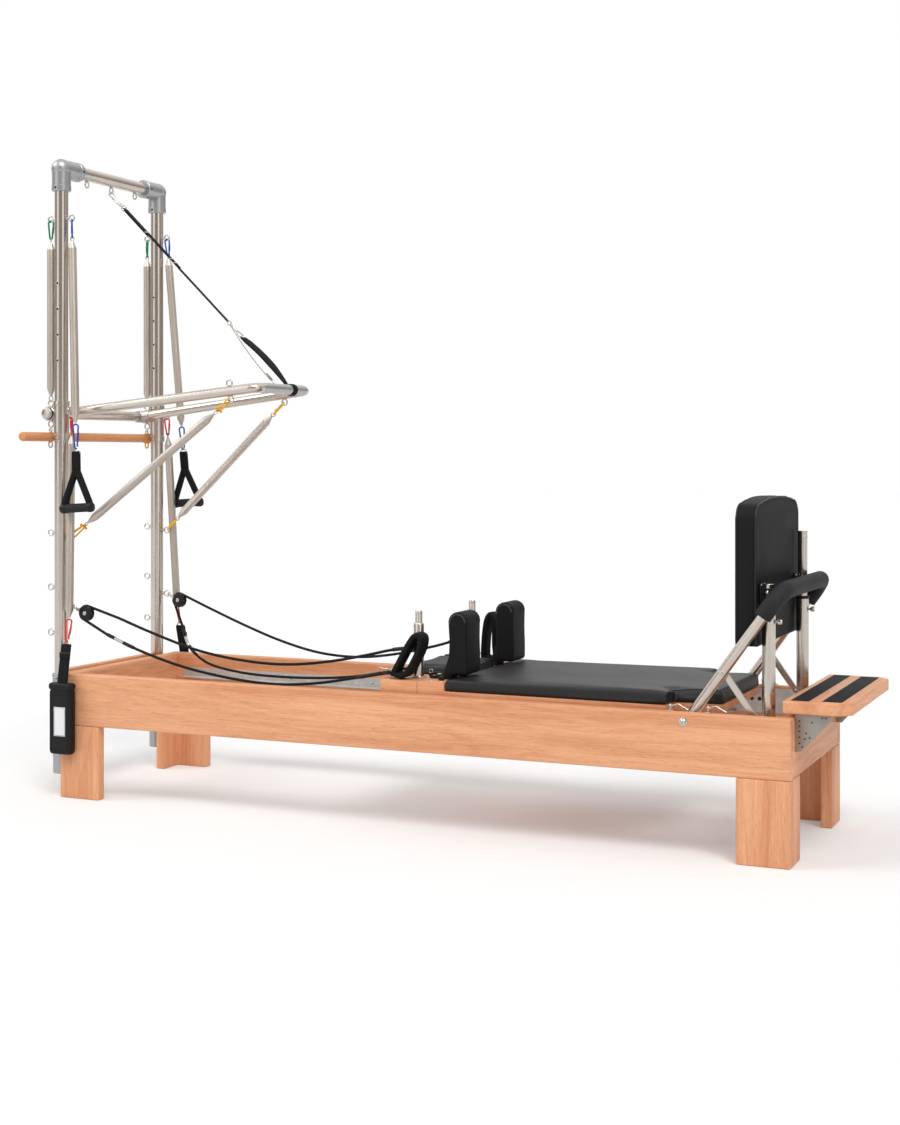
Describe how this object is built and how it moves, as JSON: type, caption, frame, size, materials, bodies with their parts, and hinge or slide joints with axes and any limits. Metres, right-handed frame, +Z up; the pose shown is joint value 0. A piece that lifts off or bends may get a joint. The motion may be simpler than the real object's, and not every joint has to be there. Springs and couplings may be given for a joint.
{
  "type": "pilates reformer with half tower",
  "caption": "Wooden pilates reformer with a steel half tower, push-through bar, hanging springs, sliding padded carriage, footbar and a padded jump board.",
  "frame": {"origin": "middle of the unit's footprint, on the floor", "axes": "+X from the head end with the tower towards the foot end with the footbar, +Y away from the near side of the picture, +Z up"},
  "size_m": [2.662, 0.81, 2.098],
  "materials": {
    "beech": "clear satin lacquer over straight-grained reddish beech",
    "oiled_dowel": "oiled turned hardwood",
    "tube_steel": "polished stainless tube with fine lengthwise drawing marks",
    "cast_fitting": "silver powder-coated casting, slightly pebbled",
    "spring_steel": "plated wound spring wire",
    "anodised_track": "clear anodised extrusion",
    "upholstery": "near-black vinyl upholstery with a fine leather grain",
    "cuff_padding": "black padded nylon with a bound edge",
    "webbing": "black woven nylon webbing",
    "rope": "black braided rope",
    "foam_grip": "black closed-cell foam",
    "black_plastic": "moulded black nylon"
  },
  "bodies": {
    "frame": {"side_rail_near": "beech", "side_rail_far": "beech", "head_rail": "beech", "foot_rail": "beech", "leg_head_near": "beech", "leg_head_far": "beech", "leg_foot_near": "beech", "leg_foot_far": "beech", "track_near": "anodised_track", "track_far": "anodised_track", "spring_bar": "tube_steel", "foot_plate": "beech", "foot_plate_bracket": "cast_fitting", "post_near": "tube_steel", "post_far": "tube_steel", "elbow_near": "cast_fitting", "elbow_far": "cast_fitting", "top_bar": "tube_steel", "tower_clamp": "cast_fitting", "tower_board": "beech", "pivot_collar_near": "cast_fitting", "pivot_collar_far": "cast_fitting", "back_spring_near": "spring_steel", "back_spring_far": "spring_steel", "push_spring_near": "spring_steel", "push_spring_far": "spring_steel", "safety_strap": "webbing", "pulley_block_near": "black_plastic", "pulley_block_far": "black_plastic", "rope_near": "rope", "rope_far": "rope", "carriage_spring": "spring_steel", "jump_board_socket": "tube_steel"},
    "push_bar": {"push_bar": "tube_steel"},
    "front_spring_near": {"front_spring_near": "spring_steel"},
    "front_spring_far": {"front_spring_far": "spring_steel"},
    "handle_near": {"handle_near": "webbing"},
    "handle_far": {"handle_far": "webbing"},
    "leg_spring_near": {"leg_spring_near": "spring_steel"},
    "leg_spring_far": {"leg_spring_far": "spring_steel"},
    "cuff_near": {"cuff_near": "cuff_padding"},
    "cuff_far": {"cuff_far": "cuff_padding"},
    "roll_down_bar": {"roll_down_bar": "oiled_dowel"},
    "sheave_near": {"sheave_near": "cast_fitting"},
    "sheave_far": {"sheave_far": "cast_fitting"},
    "carriage": {"carriage_deck": "beech", "mat": "upholstery", "riser_near": "tube_steel", "riser_far": "tube_steel"},
    "wheelset_head": {"wheelset_head": "black_plastic"},
    "wheelset_foot": {"wheelset_foot": "black_plastic"},
    "headrest": {"headrest": "upholstery"},
    "shoulder_rest_near": {"shoulder_rest_near": "upholstery"},
    "shoulder_rest_far": {"shoulder_rest_far": "upholstery"},
    "footbar": {"footbar": "tube_steel", "footbar_grip": "foam_grip"},
    "strut_near": {"strut_near": "tube_steel"},
    "strut_far": {"strut_far": "tube_steel"},
    "jump_board": {"jump_board": "upholstery", "jump_board_stems": "tube_steel"}
  },
  "joints": [
    {"name": "push_bar_swing", "type": "hinge", "parent": "frame", "child": "push_bar", "pos_m": [-1.307, 0.025, 1.255], "axis": [0, -1, 0], "range_deg": [0, 70], "stiffness_Nm_per_rad": 12, "springref_deg": -22.92, "deforming": ["push_spring_near", "push_spring_far", "safety_strap"]},
    {"name": "front_spring_near_swing", "type": "hinge", "parent": "frame", "child": "front_spring_near", "pos_m": [-1.224, -0.255, 1.9], "axis": [0, -1, 0], "range_deg": [0, 40]},
    {"name": "front_spring_far_swing", "type": "hinge", "parent": "frame", "child": "front_spring_far", "pos_m": [-1.224, 0.305, 1.9], "axis": [0, -1, 0], "range_deg": [0, 40]},
    {"name": "handle_near_swing", "type": "hinge", "parent": "front_spring_near", "child": "handle_near", "pos_m": [-1.1833, -0.2896, 1.2107], "axis": [0, -1, 0], "range_deg": [0, 60]},
    {"name": "handle_far_swing", "type": "hinge", "parent": "front_spring_far", "child": "handle_far", "pos_m": [-1.1833, 0.3396, 1.2107], "axis": [0, -1, 0], "range_deg": [0, 60]},
    {"name": "leg_spring_near_swing", "type": "hinge", "parent": "frame", "child": "leg_spring_near", "pos_m": [-1.224, -0.255, 1.255], "axis": [0, -1, 0], "range_deg": [0, 40]},
    {"name": "leg_spring_far_swing", "type": "hinge", "parent": "frame", "child": "leg_spring_far", "pos_m": [-1.224, 0.305, 1.255], "axis": [0, -1, 0], "range_deg": [0, 40]},
    {"name": "cuff_near_swing", "type": "hinge", "parent": "leg_spring_near", "child": "cuff_near", "pos_m": [-1.2057, -0.2956, 0.5724], "axis": [0, -1, 0], "range_deg": [0, 50]},
    {"name": "cuff_far_swing", "type": "hinge", "parent": "leg_spring_far", "child": "cuff_far", "pos_m": [-1.2057, 0.3456, 0.5724], "axis": [0, -1, 0], "range_deg": [0, 50]},
    {"name": "roll_down_bar_swing", "type": "hinge", "parent": "frame", "child": "roll_down_bar", "pos_m": [-1.308, 0.025, 1.221], "axis": [0, 1, 0], "range_deg": [0, 80]},
    {"name": "sheave_near_spin", "type": "hinge", "parent": "frame", "child": "sheave_near", "pos_m": [-1.168, -0.251, 0.598], "axis": [0, 1, 0], "continuous": true},
    {"name": "sheave_far_spin", "type": "hinge", "parent": "frame", "child": "sheave_far", "pos_m": [-1.168, 0.301, 0.598], "axis": [0, 1, 0], "continuous": true},
    {"name": "carriage_slide", "type": "slide", "parent": "frame", "child": "carriage", "axis": [-1, 0, 0], "range_m": [0, 0.9], "stiffness_N_per_m": 120, "springref_m": -0.15, "deforming": ["carriage_spring", "rope_near", "rope_far"]},
    {"name": "wheelset_head_spin", "type": "hinge", "parent": "carriage", "child": "wheelset_head", "pos_m": [-0.011, 0.025, 0.3486], "axis": [0, 1, 0], "continuous": true},
    {"name": "wheelset_foot_spin", "type": "hinge", "parent": "carriage", "child": "wheelset_foot", "pos_m": [0.739, 0.025, 0.3486], "axis": [0, 1, 0], "continuous": true},
    {"name": "headrest_tilt", "type": "hinge", "parent": "carriage", "child": "headrest", "pos_m": [0.1237, 0.025, 0.4576], "axis": [0, 1, 0], "range_deg": [0, 40]},
    {"name": "shoulder_rest_near_lift", "type": "slide", "parent": "carriage", "child": "shoulder_rest_near", "axis": [0, 0, 1], "range_m": [0, 0.1]},
    {"name": "shoulder_rest_far_lift", "type": "slide", "parent": "carriage", "child": "shoulder_rest_far", "axis": [0, 0, 1], "range_m": [0, 0.1]},
    {"name": "footbar_tilt", "type": "hinge", "parent": "frame", "child": "footbar", "pos_m": [0.876, 0.025, 0.38], "axis": [0, 1, 0], "range_deg": [0, 14]},
    {"name": "strut_near_fold", "type": "hinge", "parent": "footbar", "child": "strut_near", "pos_m": [0.9718, -0.235, 0.5143], "axis": [0, 1, 0], "range_deg": [-28, 0]},
    {"name": "strut_far_fold", "type": "hinge", "parent": "footbar", "child": "strut_far", "pos_m": [0.9718, 0.285, 0.5143], "axis": [0, 1, 0], "range_deg": [-28, 0]},
    {"name": "jump_board_lift", "type": "slide", "parent": "frame", "child": "jump_board", "axis": [0, 0, 1], "range_m": [0, 0.11]}
  ],
  "couplings": [
    {"joint": "wheelset_head_spin", "follows": "carriage_slide", "rad_per_m": -41.667},
    {"joint": "wheelset_foot_spin", "follows": "carriage_slide", "rad_per_m": -41.667},
    {"joint": "strut_near_fold", "follows": "footbar_tilt", "ratio": -2},
    {"joint": "strut_far_fold", "follows": "footbar_tilt", "ratio": -2}
  ]
}
